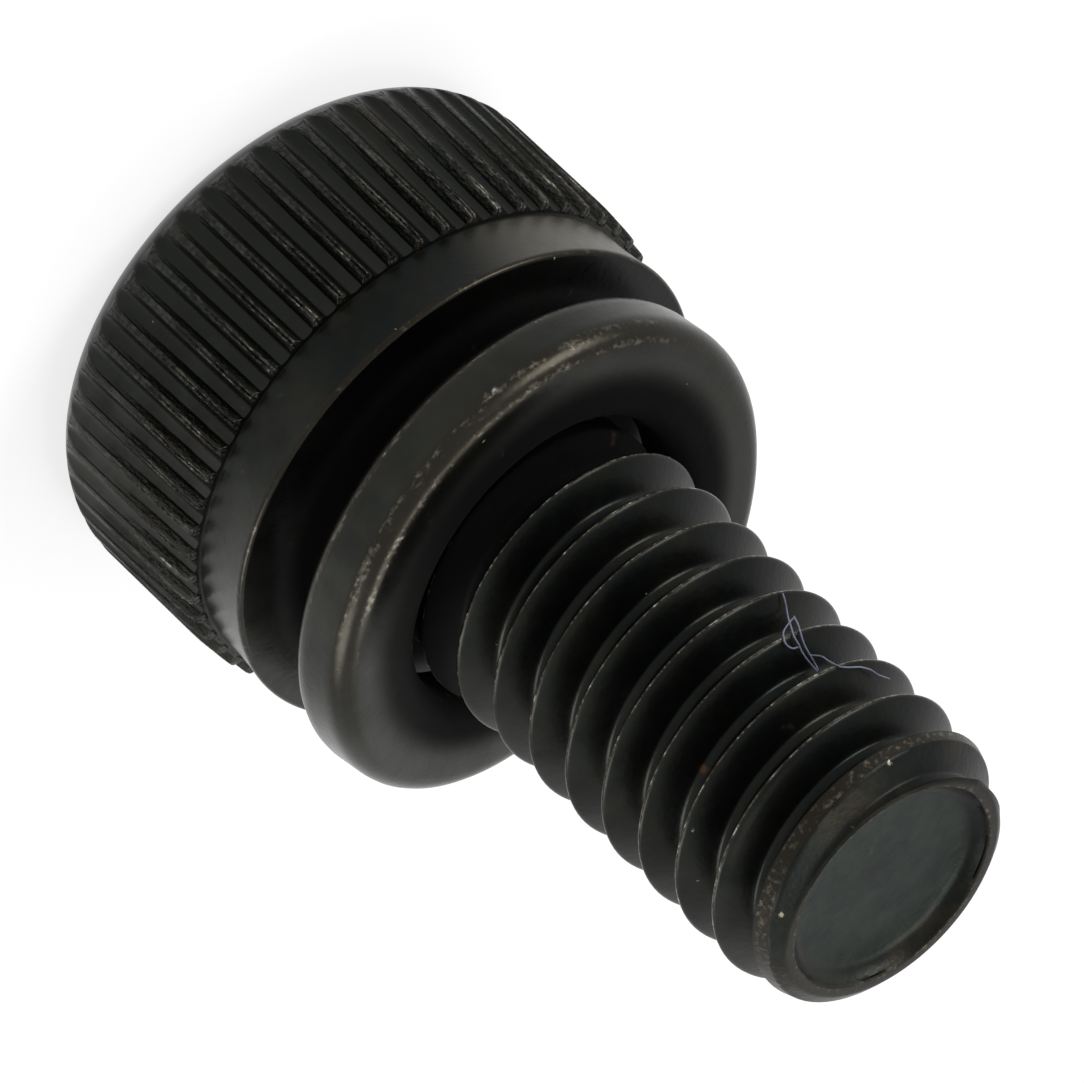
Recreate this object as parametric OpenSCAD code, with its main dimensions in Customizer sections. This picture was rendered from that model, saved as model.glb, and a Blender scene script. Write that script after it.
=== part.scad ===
// Socket head cap screw, M4 x 8, with a split lock washer loose on its shank.
// Millimetres. The screw stands on its head: the top of the head is at z = 0, the bearing face
// at z = head_h, and the point of the thread is uppermost.

/* [Head] */
// Diameter over the knurl
head_d = 7.13; // [6.9:0.01:7.6]
// Height of the head
head_h = 3.8; // [3.5:0.05:4.4]
// Radius of the rounded edge at the top of the head
head_round = 0.78; // [0.4:0.02:0.9]
// Height of the plain band between the knurl and the bearing face
band_h = 0.88; // [0.6:0.02:1.1]
// Diameter of the waist where the band meets the knurl
waist_d = 6.68; // [6.5:0.01:6.72]
// Diameter of the rim round the bearing face
rim_d = 6.82; // [6.76:0.01:6.88]
// Edge break of the rim
rim_break = 0.06; // [0.02:0.01:0.12]

/* [Knurl] */
// Number of ridges
ridge_count = 55; // [45:1:57]
// Angle at which the first ridge stands
ridge_at = 4.94; // [0:0.01:8]
// Radius of the round grooves between the ridges
groove_r = 0.165; // [0.14:0.005:0.175]
// Depth of a groove at the top of the knurl
groove_top = 0.09; // [0.06:0.01:0.12]
// Depth of a groove at the foot of the knurl
groove_foot = 0.17; // [0.14:0.01:0.2]
// Height over which the ridges fall off at their foot
falloff_h = 0.52; // [0.2:0.02:0.8]
// Radius that the ridges lose at their foot
falloff = 0.036; // [0.01:0.002:0.05]

/* [Socket] */
// Width across the flats of the hexagon
socket_af = 3; // [2.5:0.05:3.2]
// Depth of the flats
socket_depth = 2.1; // [1.6:0.05:2.3]
// Depth of the cone that the punch leaves at the bottom
socket_cone = 0.35; // [0.1:0.05:0.6]
// Chamfer outside the corners of the hexagon
socket_chamfer = 0.1; // [0.04:0.02:0.2]

/* [Shank] */
// Length under the head
shank_l = 8.16; // [6:0.02:12]
// How much thinner than the thread the plain neck is, across the diameter
neck_relief = 0.385; // [0.3:0.005:0.5]
// Length of the plain neck
neck_l = 1.2; // [0.8:0.05:1.6]
// Fillet between the neck and the head
neck_fillet = 0.2; // [0.1:0.02:0.25]

/* [Thread] */
// Outside diameter
thread_d = 3.885; // [3.8:0.005:4]
// Pitch, right-hand
pitch = 0.7; // [0.5:0.05:0.8]
// Length over which the thread rises out of the neck
runout_l = 0.4; // [0.3:0.05:0.7]
// Angle at which the thread starts
thread_at = 327.8; // [0:0.1:359.9]

/* [Point] */
// Length of the taper at the end of the thread
point_l = 0.75; // [0.5:0.01:0.9]
// Radius that the taper takes off the thread
point_cut = 0.2; // [0.12:0.01:0.26]
// Height of the bevel at the very end
lip_h = 0.11; // [0.06:0.01:0.16]
// Radius that the bevel takes off
lip_cut = 0.16; // [0.08:0.01:0.2]
// Width of the lip round the dish
lip_w = 0.13; // [0.1:0.01:0.2]
// Width of the dish's sloping wall, seen from above
dish_wall = 0.15; // [0.1:0.01:0.3]
// Depth of the dish
dish_depth = 0.2; // [0.1:0.02:0.4]

/* [Lock washer] */
// Thickness
washer_t = 0.94; // [0.8:0.02:1.1]
// Width of the section
washer_w = 1.31; // [1.1:0.01:1.4]
// Play between the hole and the thread, across the diameter
washer_play = 0.155; // [0.12:0.005:0.3]
// Rounding of the section's corners
washer_round = 0.28; // [0.1:0.02:0.3]
// Rise from end to end, as sprung open
washer_rise = 0.84; // [0.5:0.02:0.96]
// Angle left open between the two ends
split_angle = 4; // [3:0.5:10]
// Angle at which the split stands
split_at = 115; // [90:1:140]
// Lean on the shank
washer_lean = 7.4; // [5:0.1:8]
// Angle of the side that leans up towards the point
lean_at = -8; // [-16:1:8]
// Shift across the shank, which the thinner neck leaves room for
washer_shift = 0.18; // [0.12:0.01:0.22]
// Clearance between the lowest corner of the washer and the bearing face
washer_seat = 0.03; // [0.02:0.01:0.1]

/* [Hidden] */

head_r = head_d / 2;
waist_r = waist_d / 2;
rim_r = rim_d / 2;
thread_r = thread_d / 2;
neck_r = thread_r - neck_relief / 2;
shoulder_r = thread_r - point_cut;
lip_r = shoulder_r - lip_cut;
dish_r = lip_r - lip_w;
tip_z = head_h + shank_l;
thread_z = head_h + neck_l;
knurl_foot = head_h - band_h;
// How far solids that are joined run into each other
bite = 0.05;
// How far cutters run past what they cut
overrun = 0.2;
// How far two cutters that meet run into each other
touch = 0.005;
round_steps = 8;

// Thread form: 60 degree flanks, a crest flat of an eighth of the pitch and a root just under a sixth
thread_depth = 0.6134 * pitch;
root_r = thread_r - thread_depth;
crest_flat = pitch / 8;
flank = thread_depth * tan(30);
root_flat = pitch - crest_flat - 2 * flank;
thread_facets = 40;
// Turns of the helix that its envelope cuts away at each end
spare_turns = 2;

// Hexagon: corners, and a 120 degree chamfer at the mouth that runs out on the flats
corner_r = socket_af / 2 / cos(30);
mouth_r = corner_r + socket_chamfer;
mouth_h = (mouth_r - socket_af / 2) / tan(60);

washer_hole_r = (thread_d + washer_play) / 2;
washer_steps = 72;
corner_steps = 3;

// Half outline of the head, from its top to the bearing face
module head_outline() {
    band = [for (i = [0 : round_steps]) let (t = i / round_steps)
        [waist_r + (rim_r - waist_r) * pow(t, 2), knurl_foot + (band_h - rim_break) * t]];
    polygon(concat(
        [[0, 0], [head_r - head_round, 0], [head_r, head_round]],
        [[head_r, knurl_foot - falloff_h], [head_r - falloff, knurl_foot]],
        band,
        [[rim_r - rim_break, head_h], [0, head_h]]));
    translate([head_r - head_round, head_round]) circle(r = head_round, $fn = 64);
}

// One groove's cutter, along +X: round, and leaning so that the groove deepens towards the foot
module groove() {
    top_x = head_r - groove_top + groove_r;
    foot_x = head_r - groove_foot + groove_r;
    lean = atan((top_x - foot_x) / (knurl_foot - head_round));
    translate([foot_x, 0, knurl_foot]) rotate([0, 180 + lean, 0])
        translate([0, 0, -overrun]) cylinder(r = groove_r, h = knurl_foot + 2 * overrun, $fn = 24);
}

module socket() {
    translate([0, 0, -bite]) cylinder(r = corner_r, h = socket_depth + bite, $fn = 6);
    translate([0, 0, socket_depth - touch])
        cylinder(r1 = socket_af / 2, r2 = 0, h = socket_cone, $fn = 48);
    cylinder(r1 = mouth_r, r2 = socket_af / 2, h = mouth_h, $fn = 48);
}

module head() difference() {
    rotate_extrude($fn = 180) head_outline();
    for (i = [0 : ridge_count - 1]) rotate(ridge_at + 360 * (i + 0.5) / ridge_count) groove();
    socket();
}

// Plain neck, with a fillet at the head and a cone that fills the roots where the thread runs out
module neck() rotate_extrude($fn = 96) polygon(concat(
    [[0, head_h - bite], [neck_r + neck_fillet, head_h - bite]],
    [for (i = [0 : round_steps]) let (a = 90 * i / round_steps)
        [neck_r + neck_fillet * (1 - sin(a)), head_h + neck_fillet * (1 - cos(a))]],
    [[neck_r, thread_z], [root_r - bite, thread_z + runout_l], [0, thread_z + runout_l]]));

// Right-hand thread, longer than the shank at both ends, as one closed polyhedron. Each row is one
// corner of the thread form, carried once round, and its last point is the first of the next turn's row.
module helix() {
    start = thread_z - spare_turns * pitch;
    turns = ceil((tip_z - thread_z) / pitch) + 2 * spare_turns;
    form = [[0, root_r], [root_flat, root_r], [root_flat + flank, thread_r],
        [root_flat + flank + crest_flat, thread_r]];
    rows = [for (t = [0 : turns - 1]) for (c = form) [t * pitch + c[0], c[1]]];
    n = thread_facets;
    p = len(form);
    m = len(rows) - p;
    function corner(i, row) = let (a = 360 * i / n)
        [row[1] * cos(a), row[1] * sin(a), start + row[0] + pitch * i / n];
    function id(i, j) = i < n ? j * n + i : (j + p) * n;
    last = len(rows) * n;
    low = last + 1;
    high = last + 2;
    points = concat(
        [for (row = rows) for (i = [0 : n - 1]) corner(i, row)],
        [corner(0, [turns * pitch, root_r])],
        [[0, 0, start + pitch / 2], [0, 0, start + rows[m][0] + pitch / 2]]);
    sides = [for (j = [0 : m - 1]) for (i = [0 : n - 1]) each
        [[id(i, j), id(i, j + 1), id(i + 1, j + 1)], [id(i, j), id(i + 1, j + 1), id(i + 1, j)]]];
    low_end = concat([for (i = [0 : n - 1]) [low, id(i, 0), id(i + 1, 0)]],
        [for (j = [0 : p - 1]) [low, id(0, j + 1), id(0, j)]]);
    high_end = concat([for (i = [0 : n - 1]) [high, id(i + 1, m), id(i, m)]],
        [for (j = [m : m + p - 1]) [high, id(0, j), id(0, j + 1)]]);
    polyhedron(points = points, faces = concat(sides, low_end, high_end));
}

// The thread inside its envelope: a run-out cone at the neck, a taper and a bevel at the point
module thread() {
    over_r = thread_r + overrun;
    slope = (point_l - lip_h) / point_cut;
    intersection() {
        rotate(thread_at) helix();
        rotate_extrude($fn = 96) polygon([[0, thread_z], [neck_r - bite, thread_z],
            [over_r, thread_z + runout_l], [over_r, tip_z - point_l - overrun * slope],
            [shoulder_r, tip_z - lip_h], [lip_r, tip_z], [0, tip_z]]);
    }
}

module cap_screw() color("dimgray") difference() {
    union() {
        head();
        neck();
        thread();
    }
    translate([0, 0, tip_z - dish_depth])
        cylinder(r1 = dish_r - dish_wall, r2 = dish_r, h = dish_depth, $fn = 96);
}

// Corner points of the washer's rounded section: distance from the hole, and height
washer_section = [for (side = [0 : 3]) for (k = [0 : corner_steps]) let (
        x = side == 0 || side == 3 ? washer_w - washer_round : washer_round,
        y = side < 2 ? washer_t - washer_round : washer_round,
        a = 90 * (side + k / corner_steps))
    [x + washer_round * cos(a), y + washer_round * sin(a)]];

// Point of the section at step i along the left-hand ring, leaned about the ring's centre
function washer_point(i, c) = let (
        a = split_at + split_angle / 2 + (360 - split_angle) * i / washer_steps - lean_at,
        x = (washer_hole_r + c[0]) * cos(a),
        y = (washer_hole_r + c[0]) * sin(a),
        z = c[1] + washer_rise * (1 - i / washer_steps))
    [x * cos(washer_lean) - z * sin(washer_lean), y, x * sin(washer_lean) + z * cos(washer_lean)];

module lock_washer() color("slategray") {
    n = len(washer_section);
    points = [for (i = [0 : washer_steps]) for (c = washer_section) washer_point(i, c)];
    lowest = min([for (q = points) q[2]]);
    sides = [for (i = [0 : washer_steps - 1]) for (j = [0 : n - 1]) let (k = (j + 1) % n) each
        [[i * n + j, i * n + n + j, i * n + n + k], [i * n + j, i * n + n + k, i * n + k]]];
    ends = [[for (j = [0 : n - 1]) j], [for (j = [0 : n - 1]) washer_steps * n + n - 1 - j]];
    translate([washer_shift, 0, head_h + washer_seat - lowest]) rotate(lean_at)
        polyhedron(points = points, faces = concat(sides, ends));
}

cap_screw();
lock_washer();
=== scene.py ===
import math
from types import SimpleNamespace

import bmesh
import bpy
from mathutils import Matrix, Vector, noise


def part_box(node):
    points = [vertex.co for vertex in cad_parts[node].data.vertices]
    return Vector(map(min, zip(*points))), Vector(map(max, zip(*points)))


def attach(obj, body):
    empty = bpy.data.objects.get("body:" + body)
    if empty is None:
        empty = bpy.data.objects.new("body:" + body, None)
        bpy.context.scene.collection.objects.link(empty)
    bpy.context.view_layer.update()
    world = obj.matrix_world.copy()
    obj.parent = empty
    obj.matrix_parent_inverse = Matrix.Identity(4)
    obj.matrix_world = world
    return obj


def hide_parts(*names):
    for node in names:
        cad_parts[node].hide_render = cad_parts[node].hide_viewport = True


bl_info = {
    "name": "Cap Screw with Lock Washer",
    "version": (1, 0, 0),
    "blender": (4, 5, 0),
    "location": "View3D > Sidebar > Cap Screw",
    "description": "Models a knurled socket head cap screw and its lock washer on a pale stage",
    "category": "Object",
}

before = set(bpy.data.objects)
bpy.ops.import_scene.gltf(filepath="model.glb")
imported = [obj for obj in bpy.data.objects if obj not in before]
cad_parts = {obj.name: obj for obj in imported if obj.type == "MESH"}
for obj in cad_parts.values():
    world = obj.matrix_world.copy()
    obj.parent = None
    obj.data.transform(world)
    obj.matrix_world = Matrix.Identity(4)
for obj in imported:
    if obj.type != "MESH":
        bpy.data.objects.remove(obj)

MM = 0.001
TURN = 2 * math.pi
SCREW_NODE = "cap_screw"
WASHER_NODE = "lock_washer"
BODY = "root"
SCREW_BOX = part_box(SCREW_NODE)
WASHER_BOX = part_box(WASHER_NODE)
OVERALL_HEIGHT = SCREW_BOX[1].z / MM
SHARP_ANGLE = math.radians(38)
# Vertex attribute that the finishes read: how worn the surface is there
WORN = "worn"


# Settings

def length(name, description, millimetres):
    """A length that is given in millimetres here and kept in metres."""
    return bpy.props.FloatProperty(name=name, description=description, default=millimetres * MM,
                                   min=0.0, unit="LENGTH", precision=5)


def angle(name, description, degrees):
    """An angle that is given in degrees here and kept in radians."""
    return bpy.props.FloatProperty(name=name, description=description, default=math.radians(degrees),
                                   unit="ROTATION")


def colour(name, description, rgb):
    return bpy.props.FloatVectorProperty(name=name, description=description, default=rgb, size=3,
                                         min=0.0, max=1.0, subtype="COLOR")


def count(name, description, default):
    return bpy.props.IntProperty(name=name, description=description, default=default, min=1)


class HeadSizes(bpy.types.PropertyGroup):
    """Sizes of the knurled head and its socket."""
    diameter: length("Diameter", "Over the ridges of the knurl", 7.13)
    height: length("Height", "From the top of the head to the bearing face", 3.8)
    top_round: length("Top rounding", "Radius of the edge at the top of the head", 0.78)
    band: length("Band", "Height of the plain band under the knurl", 0.88)
    waist: length("Waist", "Diameter of the band where it meets the knurl", 6.68)
    rim: length("Rim", "Diameter of the rim round the bearing face", 6.82)
    rim_break: length("Rim break", "Rounding of the rim's edge", 0.06)
    ridges: count("Ridges", "Number of ridges in the knurl", 55)
    ridge_at: angle("First ridge", "Angle at which the first ridge stands", 4.94)
    groove_r: length("Groove radius", "Radius of a groove's round section", 0.165)
    groove_top: length("Groove depth at the top", "Where the top rounding begins", 0.09)
    groove_foot: length("Groove depth at the foot", "Where the knurl ends in the step", 0.17)
    falloff_h: length("Ridge fall-off", "Height over which the ridges fall off at their foot", 0.52)
    falloff: length("Ridge loss", "Radius that the ridges lose at their foot", 0.036)
    socket_af: length("Socket", "Width across the flats of the hexagon", 3.0)
    socket_depth: length("Socket depth", "Depth of the flats", 2.1)
    socket_cone: length("Socket cone", "Depth of the cone at the bottom of the socket", 0.35)
    socket_chamfer: length("Socket chamfer", "Chamfer outside the corners of the hexagon", 0.1)


class ShankSizes(bpy.types.PropertyGroup):
    """Sizes of the neck, the thread and the point."""
    relief: length("Neck relief", "How much thinner than the thread the neck is, across the diameter", 0.385)
    neck: length("Neck length", "Length of the plain neck under the head", 1.2)
    fillet: length("Fillet", "Between the neck and the bearing face", 0.2)
    thread_d: length("Thread", "Outside diameter of the thread", 3.885)
    pitch: length("Pitch", "Rise of the right-hand thread in one turn", 0.7)
    runout: length("Run-out", "Length over which the thread rises out of the neck", 0.5)
    crest_z: length("Crest height", "Height of a crest on the +X side", 4.0710)
    point: length("Point", "Length of the taper at the end of the thread", 0.75)
    point_cut: length("Point cut", "Radius that the taper takes off the thread", 0.2)
    lip: length("Lip", "Height of the bevel at the very end", 0.11)
    lip_cut: length("Lip cut", "Radius that the bevel takes off", 0.16)
    lip_w: length("Lip width", "Of the lip round the dish", 0.13)
    dish_wall: length("Dish wall", "Width of the dish's sloping wall, seen from above", 0.15)
    dish: length("Dish depth", "Depth of the dish", 0.2)


class WasherSizes(bpy.types.PropertyGroup):
    """Sizes and place of the split lock washer."""
    thickness: length("Thickness", "Along the screw", 0.94)
    width: length("Width", "Of the section, across the screw", 1.31)
    hole_d: length("Hole", "Diameter of the hole", 4.04)
    corner: length("Corner", "Rounding of the section's corners", 0.28)
    rise: length("Rise", "From end to end, as sprung open, left-hand", 0.84)
    gap: angle("Gap", "Angle left open between the ends", 4.0)
    split_at: angle("Split", "Angle at which the split stands", 115.0)
    lean: angle("Lean", "Tilt of the washer on the shank", 7.4)
    lean_at: angle("High side", "Angle of the side that leans up to the point", -8.0)
    shift: length("Shift", "Sideways, in the room that the neck leaves", 0.18)


class FinishSettings(bpy.types.PropertyGroup):
    """Colours of the oxide, the bare steel under it and what lies on it."""
    oxide: colour("Oxide", "Black oxide of the screw", (0.0046, 0.0061, 0.0051))
    washer_oxide: colour("Washer oxide", "Greyer oxide of the washer", (0.0150, 0.0165, 0.0135))
    end_oxide: colour("End oxide", "Paler oxide on the sheared end of the point", (0.0100, 0.0140, 0.0115))
    # Also painted light: the whole +X side is made greyer with this colour
    scuffed_and_side_light: colour("Scuffed oxide", "Greyer oxide of the knurl and of the dusty side", (0.042, 0.044, 0.039))
    film: colour("Film", "Brownish film of old oil", (0.020, 0.0155, 0.0105))
    # Painted shade: a near-black colour laid round the neck, where the head and the washer shade it
    neck_shade: colour("Oil", "Black oil that has gathered round the neck", (0.0016, 0.0019, 0.0017))
    # Also paints the highlight on the band's -X side
    rubbed: colour("Rubbed oxide", "Where handling has thinned the oxide", (0.085, 0.078, 0.062))
    steel: colour("Bare steel", "Where the oxide is rubbed through", (0.40, 0.385, 0.34))
    rust: colour("Rust", "Traces in the corners", (0.060, 0.026, 0.012))
    dust: colour("Dust", "Pale specks", (0.30, 0.28, 0.20))
    lint: colour("Lint", "Bluish fibre caught on the thread", (0.13, 0.145, 0.20))


class StageSettings(bpy.types.PropertyGroup):
    """Floor, light and camera."""
    floor_size: length("Floor", "Width of the floor", 600.0)
    floor: colour("Floor colour", "Pale paper", (0.82, 0.82, 0.82))
    lens: bpy.props.FloatProperty(name="Lens", description="Focal length", default=523.8, min=1.0,
                                  subtype="DISTANCE_CAMERA")
    elevation: angle("Elevation", "Of the camera above the floor", 32.749)
    roll: angle("Roll", "Of the camera about its own axis", 133.4165)
    distance: length("Distance", "From the camera to the point that it aims at", 188.87)
    aim: bpy.props.FloatVectorProperty(name="Aim", description="Point at the middle of the picture",
                                       default=(-0.0001277, 0.000595, 0.0047251), size=3,
                                       subtype="TRANSLATION", precision=6)


def in_mm(group):
    """A copy of a settings group with its lengths in millimetres, for the modelling."""
    values = SimpleNamespace()
    for name, prop in group.bl_rna.properties.items():
        if name in ("rna_type", "name"):
            continue
        value = getattr(group, name)
        setattr(values, name, value / MM if prop.unit == "LENGTH" else value)
    return values


# Modelling helpers

# Vertices nearer than this, in millimetres, are one after a repeat
JOIN_DISTANCE = 1e-4
# Room for rounding when a vertex is told by its place
TOUCH = 0.001


def polar(vert):
    return math.hypot(vert.co.x, vert.co.y), math.atan2(vert.co.y, vert.co.x)


def set_polar(vert, radius, turn):
    vert.co.x = radius * math.cos(turn)
    vert.co.y = radius * math.sin(turn)


def smoothstep(value):
    value = min(max(value, 0.0), 1.0)
    return value * value * (3 - 2 * value)


def arc(centre_r, centre_z, radius, start, end, steps):
    """Points of an arc in the half plane, angles in degrees from the outward direction towards +Z."""
    points = []
    for i in range(steps + 1):
        turn = math.radians(start + (end - start) * i / steps)
        points.append((centre_r + radius * math.cos(turn), centre_z + radius * math.sin(turn)))
    return points


def chain(bm, points):
    """A string of edges through (radius, height) points, in the plane of X and Z."""
    verts = [bm.verts.new((r, 0.0, z)) for r, z in points]
    edges = [bm.edges.new(pair) for pair in zip(verts, verts[1:])]
    return verts, edges


def vertices(geometry):
    return [g for g in geometry if isinstance(g, bmesh.types.BMVert)]


def repeat(bm, copies, move):
    """Repeats the whole mesh: copy i is placed by the matrix move(i), and edges that meet are joined."""
    pattern = bm.verts[:] + bm.edges[:] + bm.faces[:]
    for i in range(1, copies):
        made = bmesh.ops.duplicate(bm, geom=pattern)["geom"]
        bmesh.ops.transform(bm, matrix=move(i), verts=vertices(made))
    bmesh.ops.remove_doubles(bm, verts=bm.verts, dist=JOIN_DISTANCE)


def add_mesh(bm, other):
    """Adds another mesh, which is used up."""
    mesh = bpy.data.meshes.new("part")
    other.to_mesh(mesh)
    other.free()
    bm.from_mesh(mesh)
    bpy.data.meshes.remove(mesh)


def border(bm, test):
    """The open edges whose two ends pass a test."""
    return [e for e in bm.edges if e.is_boundary and all(test(v) for v in e.verts)]


def grow_rim(bm, edges, place, wear=0.0):
    """Extrudes a rim of open edges and places each new vertex with a function of its radius and angle."""
    worn = bm.verts.layers.float[WORN]
    made = bmesh.ops.extrude_edge_only(bm, edges=edges)["geom"]
    for vert in vertices(made):
        vert[worn] = wear
        radius, turn = polar(vert)
        radius, vert.co.z = place(radius, turn)
        set_polar(vert, radius, turn)
    return [g for g in made if isinstance(g, bmesh.types.BMEdge) and g.is_boundary]


def finish_piece(bm, name, material, node=None):
    """Turns a closed mesh in millimetres into a finished piece that rides on the body.

    With a node, the piece stands for that node of the solids.
    """
    loose = [e for e in bm.edges if not e.is_manifold]
    if loose:
        raise RuntimeError(f"{name} has {len(loose)} open or doubled edges")
    bmesh.ops.recalc_face_normals(bm, faces=bm.faces)
    bmesh.ops.transform(bm, matrix=Matrix.Scale(MM, 4), verts=bm.verts)
    mesh = bpy.data.meshes.new(name)
    bm.to_mesh(mesh)
    bm.free()
    mesh.polygons.foreach_set("use_smooth", [True] * len(mesh.polygons))
    mesh.set_sharp_from_angle(angle=SHARP_ANGLE)
    mesh.materials.append(material)
    piece = bpy.data.objects.new(name, mesh)
    bpy.context.scene.collection.objects.link(piece)
    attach(piece, BODY)
    if node:
        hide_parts(node)


# Shader maths

class Link:
    """An output of a shader node. Python's operators on it add the Math nodes that work them out."""

    def __init__(self, shader, socket):
        self.shader = shader
        self.socket = socket

    def __add__(self, other):
        return self.shader.maths("ADD", self, other)

    def __radd__(self, other):
        return self.shader.maths("ADD", other, self)

    def __sub__(self, other):
        return self.shader.maths("SUBTRACT", self, other)

    def __rsub__(self, other):
        return self.shader.maths("SUBTRACT", other, self)

    def __mul__(self, other):
        return self.shader.maths("MULTIPLY", self, other)

    def __rmul__(self, other):
        return self.shader.maths("MULTIPLY", other, self)


class Shader:
    """The node tree of a material or a world, with one method that makes any node."""

    def __init__(self, owner):
        owner.use_nodes = True
        self.owner = owner
        self.tree = owner.node_tree
        self.tree.nodes.clear()

    def node(self, kind, settings=None, inputs=None, output=0):
        """A node of that kind: its settings first, then values or links for its sockets."""
        node = self.tree.nodes.new("ShaderNode" + kind)
        for key, value in (settings or {}).items():
            setattr(node, key, value)
        for key, value in (inputs or {}).items():
            if isinstance(value, Link):
                self.tree.links.new(value.socket, node.inputs[key])
            else:
                node.inputs[key].default_value = value
        return Link(self, node.outputs[output]) if len(node.outputs) else None

    def outputs(self, link, *names):
        """Several outputs of the node that a link comes from."""
        return [Link(self, link.socket.node.outputs[name]) for name in names]

    def maths(self, operation, *values):
        return self.node("Math", {"operation": operation}, dict(enumerate(values)))

    def most(self, a, b):
        return self.maths("MAXIMUM", a, b)

    def step(self, value, low, high):
        """0 below low and 1 above high, smooth between. With low above high it falls instead."""
        return self.node("MapRange", {"interpolation_type": "SMOOTHSTEP", "clamp": True},
                         {"Value": value, "From Min": low, "From Max": high, "To Min": 0.0, "To Max": 1.0})

    def fade(self, value, limits, origin=0.0):
        """A step between two lengths in millimetres, which are measured from an origin in metres."""
        low, high = (origin + limit * MM for limit in limits)
        return self.step(value, low, high)

    def blend(self, factor, a, b):
        """The colour a where factor is 0 and b where it is 1."""
        a, b = (tuple(c) + (1.0,) if not isinstance(c, Link) and len(c) == 3 else c for c in (a, b))
        return self.node("Mix", {"data_type": "RGBA", "clamp_factor": True}, {0: factor, 6: a, 7: b}, 2)

    def place(self):
        return self.node("TexCoord", output="Object")

    def stretch(self, vector, scale):
        return self.node("Mapping", inputs={"Vector": vector, "Scale": scale})

    def noise(self, vector, scale, detail=2.0, roughness=0.5):
        return self.node("TexNoise", inputs={"Vector": vector, "Scale": scale, "Detail": detail,
                                             "Roughness": roughness})

    def noise_colour(self, vector, scale):
        return self.node("TexNoise", inputs={"Vector": vector, "Scale": scale}, output="Color")

    def attribute(self, name):
        return self.node("Attribute", {"attribute_type": "GEOMETRY", "attribute_name": name}, output="Fac")

    def axes(self, vector):
        """The three parts of a vector or a colour."""
        return self.outputs(self.node("SeparateXYZ", inputs={"Vector": vector}), 0, 1, 2)

    def bump(self, height, strength, millimetres, under=None):
        inputs = {"Height": height, "Strength": strength, "Distance": millimetres * MM}
        if under is not None:
            inputs["Normal"] = under
        return self.node("Bump", inputs=inputs)

    def principled(self, **inputs):
        """Ends the material with a Principled shader and gives the material back."""
        sockets = {key.replace("_", " "): value for key, value in inputs.items()}
        surface = self.node("BsdfPrincipled", inputs=sockets)
        self.node("OutputMaterial", inputs={"Surface": surface})
        return self.owner

    def background_ray(self):
        """1 for camera rays, reflected rays and refracted rays, which all see the same background."""
        rays = self.node("LightPath")
        camera, glossy, through = self.outputs(rays, "Is Camera Ray", "Is Glossy Ray", "Is Transmission Ray")
        return self.most(self.most(camera, glossy), through)


def new_shader(name):
    return Shader(bpy.data.materials.new(name))


def tinted(rgb, factor):
    """A colour made darker or lighter."""
    return tuple(c * factor for c in rgb)


def specks(shader, place, cells, size, share):
    """Small round specks, one in each of some cells: 1 inside a speck."""
    cell = shader.node("TexVoronoi", {"feature": "F1"}, {"Vector": place, "Scale": cells, "Randomness": 1.0})
    distance, colour = shader.outputs(cell, "Distance", "Color")
    chance = shader.axes(colour)[0]
    return shader.step(distance, size, size * 0.6) * shader.step(chance, 1 - share, 1 - share + 0.01)


# Finishes

# Noise patterns: scale, detail and roughness
CLOUD = (900.0, 4.0, 0.6)
PATCH = (520.0, 2.0, 0.5)
FINE = (9000.0, 3.0, 0.6)
GRIT = (15000.0, 2.0, 0.5)
STREAK = (1.0, 4.0, 0.65)
MOTTLE = (2600.0, 5.0, 0.65)
OILY = (1300.0, 4.0, 0.65)
RUSTY = (2300.0, 3.0, 0.6)
WOBBLE = 24000.0

# Lengths between which a zone fades in, in millimetres: from the foot of the knurl
KNURL_FADE = (0.02, -0.02)
BAND_START = (0.0, 0.04)
BAND_END = (0.86, 0.80)
# From the tip, and from the axis of the screw
END_FADE = (-0.30, -0.20)
END_RADIUS = (1.36, 1.14)
POINT_FADE = (-0.8, -0.5)
# From the bearing face, and from the axis: where the painted shade round the neck lies
NECK_SHADE_START = (-0.05, 0.0)
NECK_SHADE_END = (2.2, 1.6)
NECK_SHADE_RADIUS = (3.00, 2.45)
# Along X: the painted highlight on the band's -X side, and the painted light that greys the +X side
BAND_HIGHLIGHT_SIDE = (-1.8, -3.1)
LIT_SIDE = (-0.5, 5.0)

# How metallic clean oxide is, and how well dust and flecks cover it
METAL = 0.88
FLECK_COVER = 0.7


def screw_zones(shader, x, z, radius, edge, foot_z, tip_z):
    """Masks of the screw's zones: knurl, its ridges, sheared end face, point, and the band's -X side, where a
    highlight is painted.
    """
    knurl = shader.fade(z, KNURL_FADE, foot_z)
    face = shader.fade(z, END_FADE, tip_z) * shader.fade(radius, END_RADIUS)
    band = shader.fade(z, BAND_START, foot_z) * shader.fade(z, BAND_END, foot_z)
    return SimpleNamespace(
        knurl=knurl,
        ridge=knurl * shader.step(edge, 0.02, 0.25),
        face=face,
        point=shader.fade(z, POINT_FADE, tip_z) * (1.0 - face),
        band=band * shader.fade(x, BAND_HIGHLIGHT_SIDE),
    )


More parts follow.
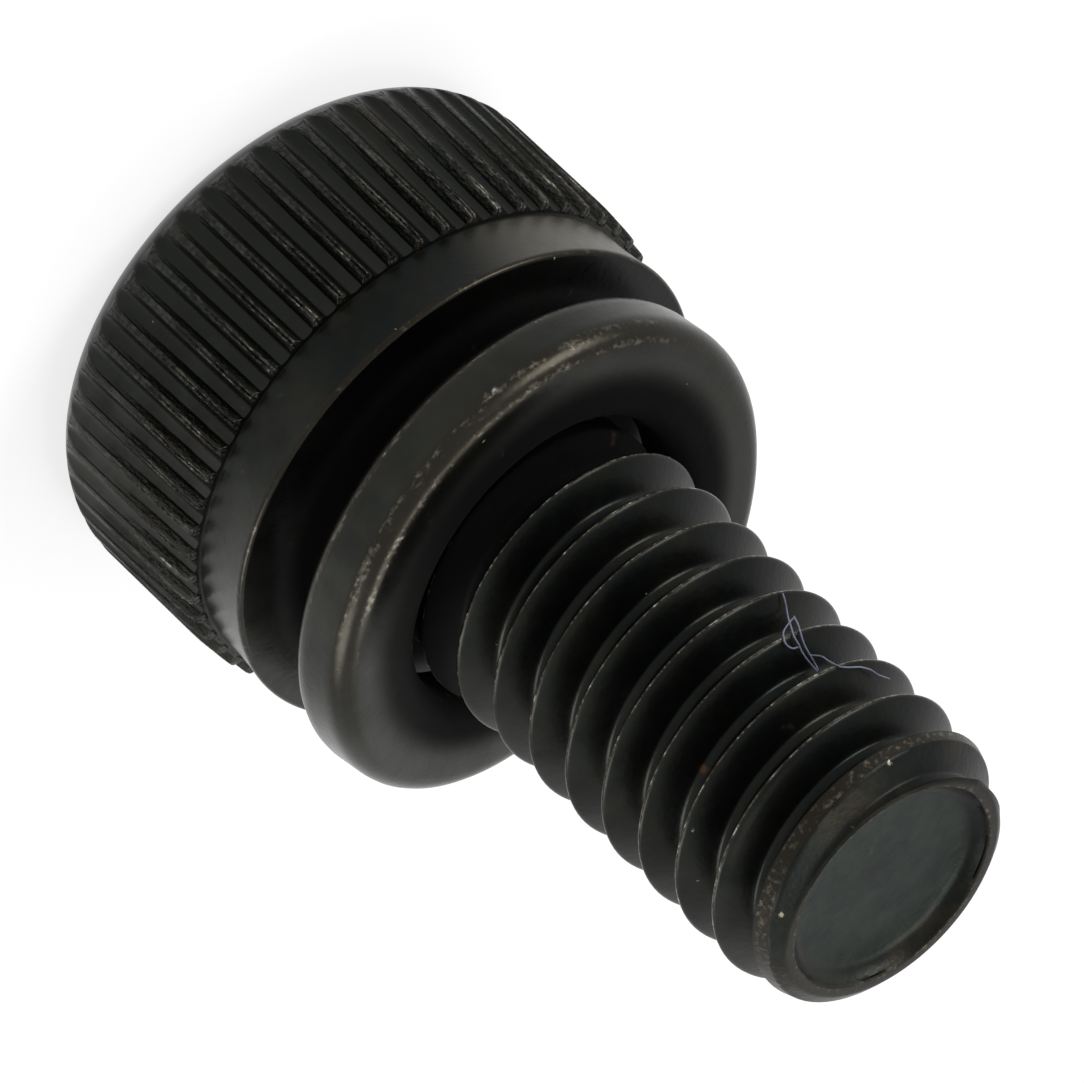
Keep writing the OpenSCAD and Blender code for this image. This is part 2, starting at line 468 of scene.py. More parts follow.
def oxide_finish(name, oxide, settings, grain, flecks, neck_z, foot_z=None, tip_z=None):
    """Black oxide on steel: mottled, with worn edges, brownish film, dust, flecks and traces of rust.

    The wear breaks up along the grain, and painted shade darkens the surface round the neck above neck_z,
    where the neck begins. foot_z is the foot of the knurl and tip_z the tip of the screw. A piece that has
    neither leaves them out.
    """
    shader = new_shader(name)
    place = shader.place()
    x, y, z = shader.axes(place)
    radius = shader.maths("SQRT", x * x + y * y)

    cloud = shader.noise(place, *CLOUD)
    patch = shader.noise(place, *PATCH)
    fine = shader.noise(place, *FINE)
    grit = shader.noise(place, *GRIT)
    streak = shader.noise(shader.stretch(place, grain), *STREAK)
    edge = shader.attribute(WORN)

    # Oxide, paler on the end face
    shade = shader.step(cloud, 0.3, 0.7)
    base = shader.blend(shade, tinted(oxide, 0.8), tinted(oxide, 1.25))
    rough = 0.30 + 0.12 * (cloud - 0.5) + 0.12 * (fine - 0.5)
    zone = SimpleNamespace(knurl=0.0, ridge=0.0, face=0.0, point=0.0, band=0.0)
    if foot_z is not None:
        zone = screw_zones(shader, x, z, radius, edge, foot_z, tip_z)
        mottle = shader.step(shader.noise(place, *MOTTLE), 0.3, 0.7)
        end = shader.blend(mottle, tinted(settings.end_oxide, 0.65), tinted(settings.end_oxide, 1.35))
        base = shader.blend(zone.face, base, end)
        rough = rough + 0.16 * zone.ridge + 0.14 * zone.face + 0.10 * zone.point + 0.14 * zone.band

    # Scuffs and speckles, painted light that greys the +X side, the painted highlight on the band's -X side,
    # and the film of old oil
    # Painted light: the +X side is greyed as if more light fell on it
    side_light = shader.fade(x, LIT_SIDE) * (0.5 + shade)
    speckled = zone.ridge * shader.step(0.5 * streak + 0.5 * grit, 0.42, 0.62)
    scuff_and_side_light = shader.most(0.16 * zone.knurl + 0.60 * speckled, side_light * (1.0 - zone.face))
    base = shader.blend(scuff_and_side_light, base, tuple(settings.scuffed_and_side_light))
    # Painted highlight: the -X side of the band takes the paler rubbed colour
    base = shader.blend(zone.band, base, tuple(settings.rubbed))
    film = shader.step(shader.noise(place, *OILY), 0.44, 0.72) * (0.3 + 0.3 * zone.ridge + 0.25 * zone.point)
    film = shader.most(film, 0.6 * shader.step(edge, 0.05, 0.4) * (1.0 - zone.ridge))
    base = shader.blend(film * (1.0 - zone.face), base, tuple(settings.film))

    # Painted shade round the neck, where the head and the washer keep the light off the surface
    neck_shade = shader.fade(z, NECK_SHADE_START, neck_z) * shader.fade(z, NECK_SHADE_END, neck_z)
    neck_shade = neck_shade * shader.fade(radius, NECK_SHADE_RADIUS)
    base = shader.blend(neck_shade, base, tuple(settings.neck_shade))
    rough = rough + 0.65 * neck_shade

    # Worn edges, rubbed thin and here and there bare
    broken = 1.2 * patch + 3.0 * (streak - 0.5) * (1.0 - 0.5 * zone.point)
    broken = broken + (2.0 + 1.5 * zone.point) * (grit - 0.5)
    mark = edge * broken
    base = shader.blend(shader.step(mark, 0.30, 0.95), base, tuple(settings.rubbed))
    base = shader.blend(shader.step(mark, 0.95, 1.25), base, tuple(settings.steel))

    # Rust, dust and the larger flecks
    rust = shader.step(shader.noise(place, *RUSTY), 0.68, 0.78) * 0.30
    base = shader.blend(rust, base, tuple(settings.rust))
    spread = shader.noise_colour(place, WOBBLE)
    wobble = shader.node("VectorMath", {"operation": "MULTIPLY_ADD"},
                         {0: spread, 1: (0.08 * MM,) * 3, 2: place})
    dust = specks(shader, wobble, 4200.0, 0.06, 0.08)
    base = shader.blend(dust * FLECK_COVER, base, tuple(settings.dust))
    for centre, size, tint in flecks:
        distance = shader.node("VectorMath", {"operation": "DISTANCE"},
                               {0: wobble, 1: tuple(c * MM for c in centre)}, "Value")
        fleck = shader.fade(distance, (size, size * 0.4))
        base = shader.blend(fleck * FLECK_COVER, base, tuple(getattr(settings, tint)))

    normal = shader.bump(fine, 0.20, 0.01)
    height = 2.0 * streak * zone.ridge
    height = height + grit * (0.06 + 1.2 * zone.ridge + 0.08 * zone.point + 0.16 * zone.face)
    normal = shader.bump(height, 0.55, 0.05, normal)
    return shader.principled(IOR=1.45, Base_Color=base, Roughness=rough, Normal=normal,
                             Metallic=METAL * (1.0 - dust) * (1.0 - rust))


def lint_finish(settings):
    shader = new_shader("lint")
    uneven = shader.noise(shader.place(), 3000.0)
    base = shader.blend(uneven, tinted(settings.lint, 0.7), tuple(settings.lint))
    return shader.principled(Roughness=0.8, Base_Color=base)


# Screw

# Columns of points across one ridge and its groove
COLUMNS = 14
# Share of the half groove at each column from its middle to its edge
GROOVE_STEPS = (0.0, 0.28, 0.54, 0.76, 0.92, 1.0)
# Place of the next column, between the groove's edge and the ridge's middle
SHOULDER = 0.4
# How far the groove's edge is eased
EDGE_EASE = 0.012
# Depth of the seam that rolling leaves along the middle of a ridge
SEAM_DEPTH = 0.03
# Limits of a groove's half width, as shares of half a ridge's pitch
NARROWEST = 0.35
WIDEST = 0.9


def knurl_point(head, column, radius, z):
    """Angle from the groove's middle, radius and wear of a knurl vertex: column 0 is a ridge's middle."""
    half_pitch = math.pi / head.ridges
    crest = head.diameter / 2
    foot = head.height - head.band
    across = column / COLUMNS - 0.5
    steps_out = round(abs(across) * COLUMNS)
    share = (z - head.top_round) / (foot - head.top_round)
    depth = head.groove_top + (head.groove_foot - head.groove_top) * share
    centre = crest - depth + head.groove_r
    drop = min(radius - centre, 0.0)
    half_width = math.sqrt(max(head.groove_r ** 2 - drop ** 2, 0.0))
    cut = radius > centre - head.groove_r and half_width > 0
    half_angle = max(math.asin(min(half_width / radius, 1.0)), NARROWEST * half_pitch)
    half_angle = min(half_angle, WIDEST * half_pitch)
    last = len(GROOVE_STEPS) - 1
    if steps_out <= last:
        turn = half_angle * GROOVE_STEPS[steps_out]
    else:
        turn = half_angle + (half_pitch - half_angle) * (SHOULDER if steps_out == last + 1 else 1.0)
    new_radius, worn = radius, 0.0
    rubbed = 0.35 + 0.65 * smoothstep(share * 1.1)
    if cut and steps_out < last:
        side = centre * math.sin(turn)
        wall = centre * math.cos(turn) - math.sqrt(max(head.groove_r ** 2 - side ** 2, 0.0))
        new_radius = min(radius, wall)
        worn = 0.22 * rubbed * smoothstep((GROOVE_STEPS[steps_out] - 0.5) / 0.4)
    elif cut and steps_out == last:
        new_radius = radius - EDGE_EASE
        worn = 0.5 * rubbed
    elif cut and steps_out == last + 1:
        worn = rubbed
    elif cut:
        new_radius = radius - SEAM_DEPTH * smoothstep((share - 0.15) / 0.4)
        worn = 0.5 * rubbed
    return math.copysign(turn, across), new_radius, worn


def hexagon_radius(head, turn):
    """Distance from the axis to the socket's wall: at a turn of 0 it is a corner of the hexagon."""
    sixth = TURN / 6
    return head.socket_af / 2 / math.cos(turn % sixth - sixth / 2)


def head_outline(head, shank, thread_z):
    """Half outline of the head and neck, from the bottom of the socket to the start of the thread."""
    crest, rim, waist, neck = (d / 2 for d in (head.diameter, head.rim, head.waist,
                                               shank.thread_d - shank.relief))
    corner = hexagon_radius(head, 0.0)
    mouth = corner + head.socket_chamfer
    inner = head.socket_af / 2
    foot = head.height - head.band
    flat = crest - head.top_round
    foot_r = crest - head.falloff
    socket = [(0.0, head.socket_depth + head.socket_cone),
              (inner / 2, head.socket_depth + head.socket_cone / 2),
              (inner * 0.96, head.socket_depth + 0.012)]
    hexagon = [(corner, head.socket_depth), (corner, head.socket_depth - 0.04),
               (corner, head.socket_depth / 2), (corner, 0.0)]
    top = [(mouth, 0.015), (mouth + 0.03, 0.0), ((mouth + flat) / 2, 0.0)]
    rounding = arc(flat, head.top_round, head.top_round, -90, 0, 16)
    straight = [(crest, head.top_round + (foot - head.falloff_h - head.top_round) * s)
                for s in (0.12, 0.3, 0.5, 0.75, 1.0)]
    taper = [(crest - head.falloff * s * s, foot - head.falloff_h * (1 - s)) for s in (0.35, 0.6, 0.8, 0.93)]
    end = [(foot_r - 0.010, foot - 0.012), (foot_r - 0.035, foot)]
    step = [(waist + 0.03, foot), (waist + 0.006, foot + 0.008)]
    band = [(waist + (rim - waist) * s * s, foot + 0.03 + (head.band - head.rim_break - 0.03) * s)
            for s in (0.0, 0.15, 0.3, 0.45, 0.6, 0.8, 0.96, 1.0)]
    rim_edge = arc(rim - head.rim_break, head.height - head.rim_break, head.rim_break, 0, 90, 5)[1:]
    face = [((rim + neck) / 2 + 0.3, head.height), ((rim + neck) / 2 - 0.3, head.height)]
    fillet = arc(neck + shank.fillet, head.height + shank.fillet, shank.fillet, 270, 180, 6)
    shaft = [(neck, head.height + 0.6 * shank.neck), (neck, thread_z)]
    knurl = rounding + straight + taper + end + step
    return socket + hexagon + top + knurl + band + rim_edge + face + fillet + shaft


def build_head(head, shank, thread_z):
    """Spins the outline by one ridge, repeats it, and cuts the knurl and the hexagon by moving vertices."""
    pitch = TURN / head.ridges
    bm = bmesh.new()
    worn = bm.verts.layers.float.new(WORN)
    verts, edges = chain(bm, head_outline(head, shank, thread_z))
    bmesh.ops.spin(bm, geom=verts + edges, cent=(0, 0, 0), axis=(0, 0, 1), angle=pitch, steps=COLUMNS,
                   use_merge=False, use_duplicate=False)
    repeat(bm, head.ridges, lambda i: Matrix.Rotation(pitch * i, 4, "Z"))
    foot = head.height - head.band
    waist = head.waist / 2
    for vert in bm.verts:
        radius, turn = polar(vert)
        z = vert.co.z
        knurled = radius > waist + 0.04 and z < foot + TOUCH
        rounded = radius > waist - 0.9 and z < 0.3
        if knurled or rounded:
            period = math.floor(turn / pitch + 0.5 / COLUMNS)
            column = round((turn / pitch - period) * COLUMNS)
            offset, radius, vert[worn] = knurl_point(head, column, radius, z)
            turn = (period + 0.5) * pitch + offset
            set_polar(vert, radius, turn)
        if abs(radius - head.rim / 2) < 0.03 and z > head.height - head.rim_break - TOUCH:
            vert[worn] = 0.5
    bmesh.ops.rotate(bm, cent=(0, 0, 0), matrix=Matrix.Rotation(head.ridge_at, 3, "Z"), verts=bm.verts)
    corner = hexagon_radius(head, 0.0)
    mouth = corner + head.socket_chamfer
    for vert in bm.verts:
        radius, turn = polar(vert)
        if abs(radius - corner) < TOUCH and vert.co.z < head.socket_depth + TOUCH:
            radius = hexagon_radius(head, turn)
            if vert.co.z < TOUCH:
                vert.co.z = (mouth - radius) / math.tan(math.radians(60))
            set_polar(vert, radius, turn)
    return bm


# Steps of one turn of the thread
THREAD_STEPS = 96
# The thread's depth and the flat on its crest, as shares of the pitch, and the slope of its flanks
THREAD_DEPTH = 0.6134
CREST_FLAT = 1 / 14
FLANK_SLOPE = math.tan(math.radians(30))
# How far the corners of root and crest are rounded, in millimetres
ROOT_SOFT = 0.03
CREST_SOFT = 0.036
# Shares of the pitch, from a root to the crest, at which the thread's outline has points
FORM_SHARES = (0.0, 0.045, 0.08, 0.105, 0.135, 0.17, 0.24, 0.31, 0.37, 0.41, 0.437, 0.46, 0.48, 0.5)
# Wear of the crest and the share of the pitch over which it fades
CREST_WEAR = 1.1
CREST_WEAR_WIDTH = 0.022
# How fine the streaks of wear are along X, Y and Z
SCREW_GRAIN = (7000.0, 7000.0, 2200.0)
# Larger flecks: where each lies, its size, and the colour that it has
SCREW_FLECKS = (
    ((-3.13, -1.70, 1.41), 0.035, "dust"),
    ((-3.19, -1.53, 1.35), 0.045, "dust"),
    ((-3.25, -1.35, 1.28), 0.030, "dust"),
    ((-2.74, -2.07, 2.10), 0.040, "dust"),
    ((-2.12, -2.68, 2.53), 0.035, "dust"),
    ((-1.49, -2.99, 3.15), 0.045, "lint"),
    ((-1.44, -3.10, 2.92), 0.070, "rust"),
    ((-1.60, -2.94, 2.93), 0.070, "rust"),
    ((-2.27, -2.54, 3.75), 0.060, "rust"),
    ((-2.54, -2.22, 3.50), 0.080, "rust"),
    ((-3.14, -0.23, 3.80), 0.035, "dust"),
    ((0.55, -1.41, 9.88), 0.080, "rust"),
    ((1.15, -1.44, 10.37), 0.030, "dust"),
    ((1.53, -0.79, 10.49), 0.030, "dust"),
    ((-0.78, -1.68, 11.50), 0.040, "dust"),
    ((-1.00, -1.42, 11.69), 0.040, "dust"),
    ((-0.17, -1.50, 11.94), 0.040, "dust"),
    ((1.15, -1.20, 11.89), 0.040, "dust"),
    ((0.01, 0.28, 11.78), 0.035, "dust"),
    ((0.36, 1.14, 11.76), 0.035, "dust"),
    ((1.23, 0.43, 11.77), 0.040, "dust"),
    ((-1.20, 0.57, 11.79), 0.035, "dust"),
)
# Height over which the lip is rounded
LIP_EASE = 0.03
# Points of the dish's wall: how far inward, and which share of the dish's depth down
DISH_WALL = ((0.02, 0.25), (0.06, 0.5), (0.11, 0.75), (0.16, 0.9), (0.22, 0.965))
# Rings of the dish's floor, as shares of its radius
DISH_RINGS = (0.9, 0.7, 0.5, 0.3, 0.12)


def thread_form(shank):
    """One pitch of the thread's outline, from the middle of a root to the next: (radius, height, wear)."""
    pitch = shank.pitch
    depth = THREAD_DEPTH * pitch
    root_r = shank.thread_d / 2 - depth
    root_half = (pitch - CREST_FLAT * pitch - 2 * depth * FLANK_SLOPE) / 2
    rise = []
    for share in FORM_SHARES:
        flank = (share * pitch - root_half) / FLANK_SLOPE
        low = 0.5 * (flank + math.hypot(flank, ROOT_SOFT))
        over = depth - low
        high = 0.5 * (over + math.hypot(over, CREST_SOFT))
        worn = CREST_WEAR * math.exp(-((share - 0.5) / CREST_WEAR_WIDTH) ** 2)
        rise.append((root_r + depth - high, share * pitch, worn))
    fall = [(r, pitch - z, worn) for r, z, worn in reversed(rise[:-1])]
    return rise + fall


def point_radius(shank, below):
    """Radius that the taper and the bevel leave at a distance below the tip."""
    shoulder = shank.thread_d / 2 - shank.point_cut
    if below > shank.lip:
        return shoulder + shank.point_cut * (below - shank.lip) / (shank.point - shank.lip)
    return shoulder - shank.lip_cut * (1 - max(below, 0.0) / shank.lip)


def build_thread(shank, tip_z, thread_z):
    """Spins one pitch of the thread once round, repeats it, and trims it to run-out, taper and end."""
    form = thread_form(shank)
    pitch = shank.pitch
    start = shank.crest_z - pitch / 2
    start += pitch * math.floor((thread_z - pitch - start) / pitch)
    turns = math.ceil((tip_z - start) / pitch) + 1
    bm = bmesh.new()
    worn = bm.verts.layers.float.new(WORN)
    verts, edges = chain(bm, [(r, start + z) for r, z, wear in form])
    for vert, (r, z, wear) in zip(verts, form):
        vert[worn] = wear
    bmesh.ops.spin(bm, geom=verts + edges, cent=(0, 0, 0), axis=(0, 0, 1), angle=TURN, steps=THREAD_STEPS,
                   dvec=(0, 0, pitch / THREAD_STEPS), use_merge=False, use_duplicate=False)
    repeat(bm, turns, lambda i: Matrix.Translation((0, 0, pitch * i)))
    near_tip = [e for e in bm.edges if max(v.co.z for v in e.verts) > tip_z - shank.point - 0.2]
    bmesh.ops.subdivide_edges(bm, edges=near_tip, cuts=1, use_grid_fill=True)
    neck = (shank.thread_d - shank.relief) / 2
    for vert in bm.verts:
        radius, turn = polar(vert)
        share = smoothstep((vert.co.z - thread_z) / shank.runout)
        radius = neck + (radius - neck) * share
        vert[worn] *= share
        limit = point_radius(shank, tip_z - vert.co.z)
        if radius > limit:
            vert[worn] = 0.5 * smoothstep((radius - limit) / 0.05)
            radius = limit
        set_polar(vert, radius, turn)
    for height, above in ((thread_z, False), (tip_z - LIP_EASE, True)):
        bmesh.ops.bisect_plane(bm, geom=bm.verts[:] + bm.edges[:] + bm.faces[:], dist=1e-5,
                               plane_co=(0, 0, height), plane_no=(0, 0, 1),
                               clear_outer=above, clear_inner=not above)
    return bm


def build_point(bm, shank, tip_z):
    """Closes the end of the thread with a rounded lip and a shallow, slightly uneven dish."""
    worn = bm.verts.layers.float[WORN]
    lip_z = tip_z - LIP_EASE
    dish_r = point_radius(shank, 0.0) - shank.lip_w
    floor_r = 0.93 * (dish_r - shank.dish_wall)
    floor_z = tip_z - shank.dish

    def uneven(turn, amount, seed):
        return amount * noise.noise(Vector((2.2 * math.cos(turn), 2.2 * math.sin(turn), seed)))

    def wall(turn, inward):
        return dish_r - inward + uneven(turn, 0.03, 7.0)

    def floor(turn, share):
        return floor_z + 0.02 * (1 - share) + uneven(turn, 0.01 * share, 11.0)

    rim = border(bm, lambda v: abs(v.co.z - lip_z) < TOUCH)
    for vert in {v for e in rim for v in e.verts}:
        vert[worn] = 0.15
    rim = grow_rim(bm, rim, lambda r, a: (max(r - 0.026, dish_r + 0.04), tip_z - 0.010), 0.25)
    rim = grow_rim(bm, rim, lambda r, a: (max(r - 0.030, dish_r + 0.03), tip_z), 0.2)
    rim = grow_rim(bm, rim, lambda r, a: (dish_r + 0.012 + uneven(a, 0.02, 3.0), tip_z), 0.6)
    rim = grow_rim(bm, rim, lambda r, a: (r - 0.02, tip_z - 0.018), 0.1)
    for inward, down in DISH_WALL:
        rim = grow_rim(bm, rim, lambda r, a: (wall(a, inward), tip_z - down * shank.dish))
    for share in DISH_RINGS:
        rim = grow_rim(bm, rim, lambda r, a: (floor_r * share, floor(a, share)))
    centre = bmesh.ops.extrude_edge_only(bm, edges=rim)["geom"]
    bmesh.ops.pointmerge(bm, verts=vertices(centre), merge_co=(0, 0, floor_z + 0.02))


class OBJECT_OT_cap_screw(bpy.types.Operator):
    """Model the cap screw as one closed mesh in black oxide steel"""
    bl_idname = "object.cap_screw"
    bl_label = "Cap Screw"

    def execute(self, context):
        head = in_mm(context.scene.head_sizes)
        shank = in_mm(context.scene.shank_sizes)
        tip_z = OVERALL_HEIGHT
        thread_z = head.height + shank.neck
        bm = build_thread(shank, tip_z, thread_z)
        build_point(bm, shank, tip_z)
        add_mesh(bm, build_head(head, shank, thread_z))
        seam = border(bm, lambda v: abs(v.co.z - thread_z) < TOUCH)
        bmesh.ops.bridge_loops(bm, edges=seam)
        finish = context.scene.finish_settings
        foot_z = head.height - head.band
        material = oxide_finish("black_oxide", finish.oxide, finish, SCREW_GRAIN, SCREW_FLECKS,
                                head.height * MM, foot_z * MM, tip_z * MM)
        finish_piece(bm, "screw", material, SCREW_NODE)
        return {"FINISHED"}


# Washer

WASHER_STEPS = 180
# Rounding of the edges round the washer's two ends
END_BREAK = 0.03
WASHER_GRAIN = (3000.0, 3000.0, 15000.0)
WASHER_FLECKS = (
    ((-0.90, -3.16, 5.22), 0.070, "rubbed"),
    ((-1.01, -3.11, 5.23), 0.060, "steel"),
    ((-1.12, -3.07, 5.25), 0.060, "rubbed"),
    ((1.98, 0.67, 5.25), 0.080, "rust"),
    ((1.92, 0.87, 5.26), 0.070, "rust"),
)
# The worn stretch of the outer edge: its middle and half its length, as angles
WORN_AT = math.radians(-95)
WORN_REACH = math.radians(75)


def washer_section(bm, size):
    """The outline of the section, a rounded rectangle at the ring's mean radius, with its corners worn."""
    worn = bm.verts.layers.float[WORN]
    middle = (size.hole_d + size.width) / 2
    height = size.thickness / 2 + size.rise
    section = bmesh.ops.create_grid(bm, x_segments=1, y_segments=1, size=0.5)["verts"]
    bmesh.ops.scale(bm, vec=(size.width, size.thickness, 1), verts=section)
    bmesh.ops.bevel(bm, geom=section, affect="VERTICES", offset=size.corner, segments=5, profile=0.5,
                    material=-1)
    long_edges = [e for e in bm.edges if e.calc_length() > size.thickness / 3]
    bmesh.ops.subdivide_edges(bm, edges=long_edges, cuts=5)
    bmesh.ops.rotate(bm, matrix=Matrix.Rotation(math.radians(90), 3, "X"), verts=bm.verts)
    bmesh.ops.translate(bm, vec=(middle, 0, height), verts=bm.verts)
    for vert in bm.verts:
        from_side = size.width / 2 - abs(vert.co.x - middle)
        from_face = size.thickness / 2 - abs(vert.co.z - height)
        on_corner = TOUCH < min(from_side, from_face) and max(from_side, from_face) < size.corner
        line = 1.0 if abs(from_side - from_face) > 0.6 * size.corner else 0.45
        side = 0.9 if vert.co.x > middle else 0.3
        vert[worn] = side * line if on_corner else 0.0
    bmesh.ops.delete(bm, geom=list(bm.faces), context="FACES_ONLY")


def build_washer(size):
    """Sweeps the section along a left-hand helix, closes its ends, and leans the ring on the shank."""
    bm = bmesh.new()
    worn = bm.verts.layers.float.new(WORN)
    washer_section(bm, size)
    turn = size.split_at + size.gap / 2 - size.lean_at
    bmesh.ops.rotate(bm, cent=(0, 0, 0), matrix=Matrix.Rotation(turn, 3, "Z"), verts=bm.verts)
    bmesh.ops.spin(bm, geom=list(bm.verts) + list(bm.edges), cent=(0, 0, 0), axis=(0, 0, 1),
                   angle=TURN - size.gap, steps=WASHER_STEPS, dvec=(0, 0, -size.rise / WASHER_STEPS),
                   use_merge=False, use_duplicate=False)
    ends = [e for e in bm.edges if e.is_boundary]
    caps = bmesh.ops.holes_fill(bm, edges=ends, sides=0)["faces"]
    rims = list({e for f in caps for e in f.edges})
    bmesh.ops.bevel(bm, geom=rims, affect="EDGES", offset=END_BREAK, segments=2, profile=0.5, material=-1)
    lean = Matrix.Rotation(size.lean_at, 4, "Z") @ Matrix.Rotation(-size.lean, 4, "Y")
    bmesh.ops.transform(bm, matrix=lean, verts=bm.verts)
    lowest = min(v.co.z for v in bm.verts)
    bmesh.ops.translate(bm, vec=(size.shift, 0, WASHER_BOX[0].z / MM - lowest), verts=bm.verts)
    for vert in bm.verts:
        away = abs(polar(vert)[1] - WORN_AT) / WORN_REACH
        vert[worn] *= 0.25 + 0.75 * smoothstep(1.3 - away)
    return bm


class OBJECT_OT_lock_washer(bpy.types.Operator):
    """Model the split lock washer, sprung open and leaning on the shank"""
    bl_idname = "object.lock_washer"
    bl_label = "Lock Washer"

    def execute(self, context):
        scene = context.scene
        finish = scene.finish_settings
        material = oxide_finish("washer_oxide", finish.washer_oxide, finish, WASHER_GRAIN, WASHER_FLECKS,
                                scene.head_sizes.height)
        finish_piece(build_washer(in_mm(scene.washer_sizes)), "washer", material, WASHER_NODE)
        return {"FINISHED"}


# Lint

LINT_RADIUS = 0.010
LINT_SIDES = 6
LINT_STEPS = 4
# The fibres, each from end to end
LINT_PATHS = (
    ((-1.63, -1.06, 8.73), (-1.58, -1.01, 8.80), (-1.52, -0.95, 8.86), (-1.46, -1.02, 9.00),
     (-1.41, -1.29, 9.27), (-1.35, -1.40, 9.46), (-1.32, -1.34, 9.54), (-1.28, -1.25, 9.60),
     (-1.26, -1.15, 9.65), (-1.25, -1.05, 9.69), (-1.24, -0.97, 9.76)),
    ((-1.52, -1.20, 9.15), (-1.48, -1.27, 9.32), (-1.43, -1.32, 9.45), (-1.38, -1.27, 9.52),
     (-1.35, -1.22, 9.57), (-1.32, -1.13, 9.63), (-1.29, -1.02, 9.68), (-1.26, -0.95, 9.74)),
    ((-1.52, -0.83, 8.93), (-1.44, -0.91, 8.98), (-1.37, -1.15, 9.14), (-1.30, -1.42, 9.33),
     (-1.26, -1.50, 9.43), (-1.22, -1.48, 9.50), (-1.23, -1.42, 9.57), (-1.29, -1.39, 9.60)),
    ((-1.32, -1.07, 9.60), (-1.40, -1.05, 9.71), (-1.42, -1.24, 9.96), (-1.46, -1.29, 10.14),
     (-1.53, -1.22, 10.20), (-1.62, -1.08, 10.22), (-1.68, -0.89, 10.23), (-1.70, -0.72, 10.25),
     (-1.76, -0.56, 10.31)),
)


def smooth_path(points, steps):
    """More points on a smooth curve through the given ones."""
    points = [Vector(q) for q in points]
    path = []
    for i in range(len(points) - 1):
        a, b = points[i:i + 2]
        before, after = points[max(i - 1, 0)], points[min(i + 2, len(points) - 1)]
        for k in range(steps):
            t = k / steps
            curve = 2 * a + (b - before) * t + (2 * before - 5 * a + 4 * b - after) * t ** 2
            path.append((curve + (3 * a - before - 3 * b + after) * t ** 3) / 2)
    return path + [points[-1]]


def add_fibre(bm, points):
    """A thin tube: rings along the path, each bridged to the next."""
    path = smooth_path(points, LINT_STEPS)
    last = len(path) - 1
    rings = []
    for i, centre in enumerate(path):
        along = path[min(i + 1, last)] - path[max(i - 1, 0)]
        turn = along.to_track_quat("Z", "Y").to_matrix().to_4x4()
        made = bmesh.ops.create_circle(bm, cap_ends=i in (0, last), segments=LINT_SIDES, radius=LINT_RADIUS,
                                       matrix=Matrix.Translation(centre) @ turn)["verts"]
        rings.append(list({e for v in made for e in v.link_edges}))
    for near, far in zip(rings, rings[1:]):
        bmesh.ops.bridge_loops(bm, edges=near + far)


class OBJECT_OT_lint(bpy.types.Operator):
    """Model the tangle of fine fibres that is caught on the thread"""
    bl_idname = "object.lint"
    bl_label = "Lint"

    def execute(self, context):
        bm = bmesh.new()
        for points in LINT_PATHS:
            add_fibre(bm, points)
        finish_piece(bm, "lint", lint_finish(context.scene.finish_settings))
        return {"FINISHED"}


# Stage

# Softboxes: name, width and place in metres, power in watts
SOFTBOXES = (
    ("left_softbox", 0.10, (-0.16, -0.05, 0.10), 0.30),
    ("right_softbox", 0.10, (0.16, -0.03, 0.07), 0.16),
    ("top_softbox", 0.14, (0.0, 0.06, 0.20), 0.30),
)
WHITE = (1.0, 1.0, 1.0, 1.0)
# Share of plain white in the floor that the camera sees; the rest is lit paper, which keeps the shadow
FLOOR_GLOW = 0.75
# Strength of the sky as a light
SKY_LIGHT = 0.55


def paper_floor(stage):
    """A pale round floor that keeps the object's shadow."""
    bm = bmesh.new()
    bmesh.ops.create_circle(bm, cap_ends=True, segments=96, radius=stage.floor_size / 2)
    mesh = bpy.data.meshes.new("floor")
    bm.to_mesh(mesh)
    bm.free()
    floor = bpy.data.objects.new("floor", mesh)
    bpy.context.scene.collection.objects.link(floor)
    paper = new_shader("paper")
    grain = paper.step(paper.noise(paper.place(), 400.0), 0.3, 0.7)
    colour = paper.blend(grain, tinted(stage.floor, 0.99), tuple(stage.floor))
    surface = paper.node("BsdfDiffuse", inputs={"Color": colour})
    glow = paper.node("Emission", inputs={"Color": WHITE, "Strength": 1.0})
    both = paper.node("MixShader", inputs={0: paper.background_ray() * FLOOR_GLOW, 1: surface, 2: glow})
    paper.node("OutputMaterial", inputs={"Surface": both})
    mesh.materials.append(paper.owner)


def white_sky():
    """A world that is white to look at and gives a softer light."""
    sky = Shader(bpy.data.worlds.new("sky"))
    light = sky.node("Background", inputs={"Color": WHITE, "Strength": SKY_LIGHT})
    white = sky.node("Background", inputs={"Color": WHITE, "Strength": 1.0})
    both = sky.node("MixShader", inputs={0: sky.background_ray(), 1: light, 2: white})
    sky.node("OutputWorld", inputs={"Surface": both})
    return sky.owner


def soft_light(name, size, place, target, power):
    data = bpy.data.lights.new(name, "AREA")
    data.shape = "DISK"
    data.size = size
    data.energy = power
    lamp = bpy.data.objects.new(name, data)
    lamp.location = place
    lamp.rotation_euler = (target - Vector(place)).to_track_quat("-Z", "Y").to_euler()
    bpy.context.scene.collection.objects.link(lamp)


def aimed_camera(stage):
    """The camera, at its distance from the point that it aims at."""
    data = bpy.data.cameras.new("camera")
    data.lens = stage.lens
    data.clip_start = 0.01
    data.clip_end = 10.0
    camera = bpy.data.objects.new("camera", data)
    turn = Matrix.Rotation(math.pi / 2 - stage.elevation, 4, "X") @ Matrix.Rotation(stage.roll, 4, "Z")
    back = turn @ Vector((0, 0, stage.distance))
    camera.matrix_world = Matrix.Translation(Vector(stage.aim) + back) @ turn
    bpy.context.scene.collection.objects.link(camera)
    return camera


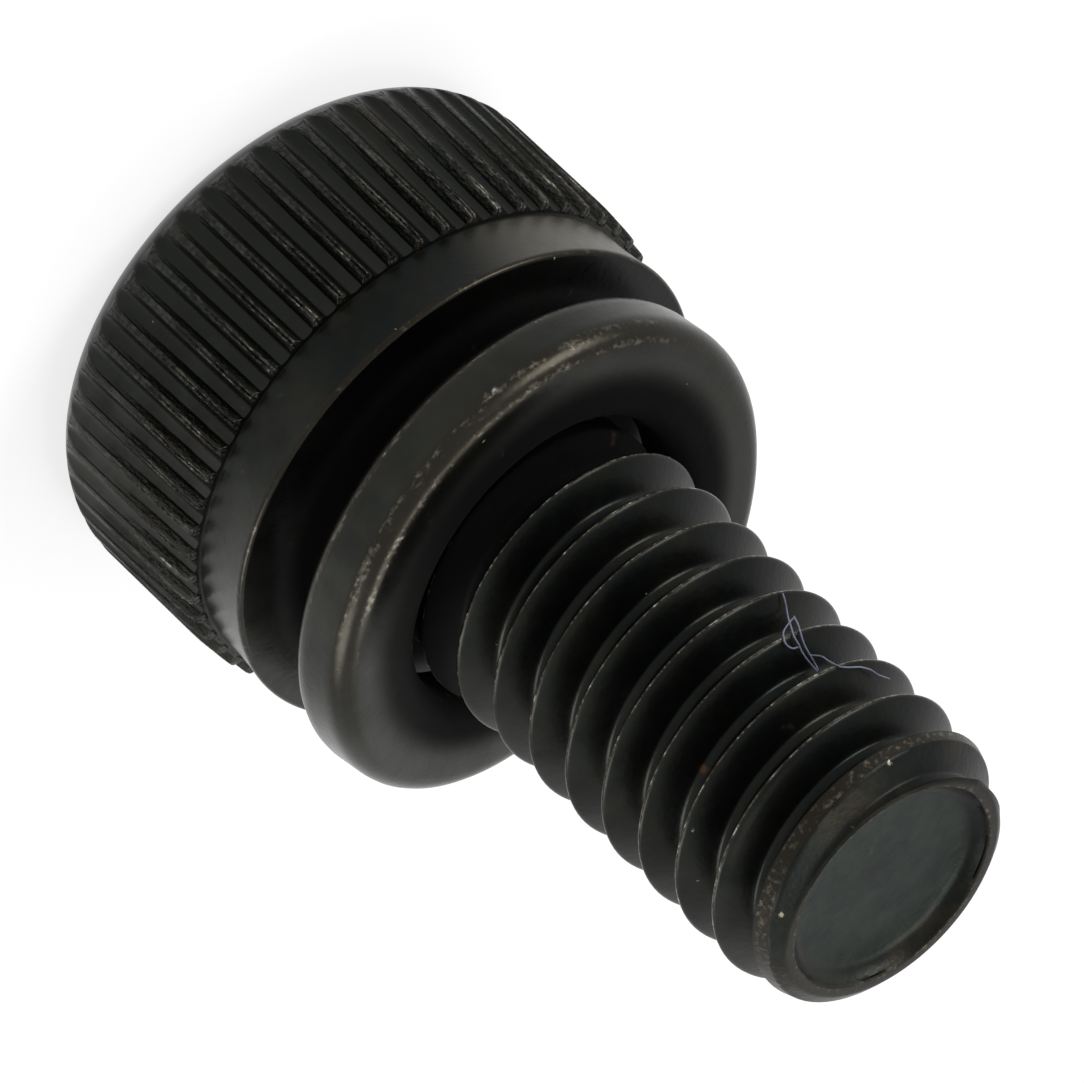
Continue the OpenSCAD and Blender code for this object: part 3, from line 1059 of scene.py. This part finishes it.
class SCENE_OT_pale_stage(bpy.types.Operator):
    """Lay the pale floor, light it softly and set the camera"""
    bl_idname = "scene.pale_stage"
    bl_label = "Pale Stage"

    def execute(self, context):
        scene = context.scene
        paper_floor(scene.stage_settings)
        scene.world = white_sky()
        middle = Vector((0, 0, OVERALL_HEIGHT * MM / 2))
        for name, size, place, power in SOFTBOXES:
            soft_light(name, size, place, middle, power)
        scene.camera = aimed_camera(scene.stage_settings)
        scene.view_settings.view_transform = "Standard"
        return {"FINISHED"}


class VIEW3D_PT_cap_screw(bpy.types.Panel):
    """Sizes and finishes of the screw and washer, with a button for each piece."""
    bl_label = "Cap Screw"
    bl_space_type = "VIEW_3D"
    bl_region_type = "UI"
    bl_category = "Cap Screw"

    def draw(self, context):
        for title, group, operator in PARTS:
            box = self.layout.box()
            box.label(text=title)
            settings = getattr(context.scene, group)
            for name in settings.bl_rna.properties.keys():
                if name not in ("rna_type", "name"):
                    box.prop(settings, name)
            if operator:
                box.operator(operator)


PARTS = (
    ("Head", "head_sizes", None),
    ("Shank", "shank_sizes", "object.cap_screw"),
    ("Lock washer", "washer_sizes", "object.lock_washer"),
    ("Finish", "finish_settings", "object.lint"),
    ("Stage", "stage_settings", "scene.pale_stage"),
)
GROUPS = {
    "head_sizes": HeadSizes,
    "shank_sizes": ShankSizes,
    "washer_sizes": WasherSizes,
    "finish_settings": FinishSettings,
    "stage_settings": StageSettings,
}
CLASSES = (
    *GROUPS.values(),
    OBJECT_OT_cap_screw,
    OBJECT_OT_lock_washer,
    OBJECT_OT_lint,
    SCENE_OT_pale_stage,
    VIEW3D_PT_cap_screw,
)


def register():
    for item in CLASSES:
        bpy.utils.register_class(item)
    for name, group in GROUPS.items():
        setattr(bpy.types.Scene, name, bpy.props.PointerProperty(type=group))


def unregister():
    for name in GROUPS:
        delattr(bpy.types.Scene, name)
    for item in reversed(CLASSES):
        bpy.utils.unregister_class(item)


def main():
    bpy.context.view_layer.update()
    register()
    bpy.ops.scene.pale_stage()
    bpy.ops.object.cap_screw()
    bpy.ops.object.lock_washer()
    bpy.ops.object.lint()


if __name__ == "__main__":
    main()
